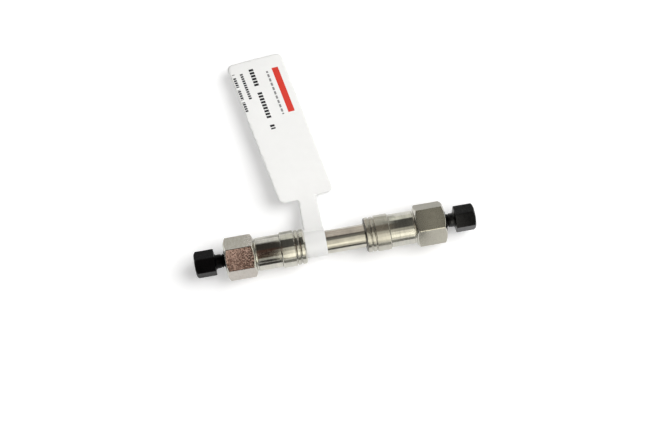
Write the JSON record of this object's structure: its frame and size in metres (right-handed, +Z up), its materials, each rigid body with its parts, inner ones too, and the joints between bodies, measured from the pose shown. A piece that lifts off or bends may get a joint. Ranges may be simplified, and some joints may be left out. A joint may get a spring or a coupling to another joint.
{
  "type": "hplc column",
  "caption": "Short steel chromatography column with hexagonal end fittings, grooved collar nuts, plugged ports and a flag label round the tube.",
  "frame": {"origin": "middle of the steel tube, on its axis, where a column clip grips", "axes": "+X along the tube towards the outlet, +Z up with the outlet hexagon's flats level, +Y towards the flag label"},
  "size_m": [0.0944, 0.0792, 0.0144],
  "materials": {
    "turned_steel": "turned and polished stainless steel",
    "satin_steel": "satin stainless steel hexagons",
    "ferrule_steel": "plain turned stainless steel",
    "frit_steel": "sintered stainless steel",
    "seal_polymer": "natural PEEK",
    "bed_polymer": "porous white polymer",
    "plug_plastic": "black moulded plastic, satin",
    "label_sheet": "matt white coated label"
  },
  "bodies": {
    "column": {"column_tube": "turned_steel", "monolith_bed": "bed_polymer", "flag_label": "label_sheet", "inlet_end_fitting": "satin_steel", "inlet_collar_nut": "turned_steel", "inlet_front_ferrule": "ferrule_steel", "inlet_back_ferrule": "ferrule_steel", "inlet_frit": "frit_steel", "inlet_frit_ring": "seal_polymer", "outlet_end_fitting": "satin_steel", "outlet_collar_nut": "turned_steel", "outlet_front_ferrule": "ferrule_steel", "outlet_back_ferrule": "ferrule_steel", "outlet_frit": "frit_steel", "outlet_frit_ring": "seal_polymer"},
    "inlet_plug": {"inlet_plug": "plug_plastic"},
    "outlet_plug": {"outlet_plug": "plug_plastic"}
  },
  "joints": [
    {"name": "inlet_plug_draw", "type": "slide", "parent": "column", "child": "inlet_plug", "axis": [-1, 0, 0], "range_m": [0, 0.014]},
    {"name": "outlet_plug_draw", "type": "slide", "parent": "column", "child": "outlet_plug", "axis": [1, 0, 0], "range_m": [0, 0.014]}
  ]
}
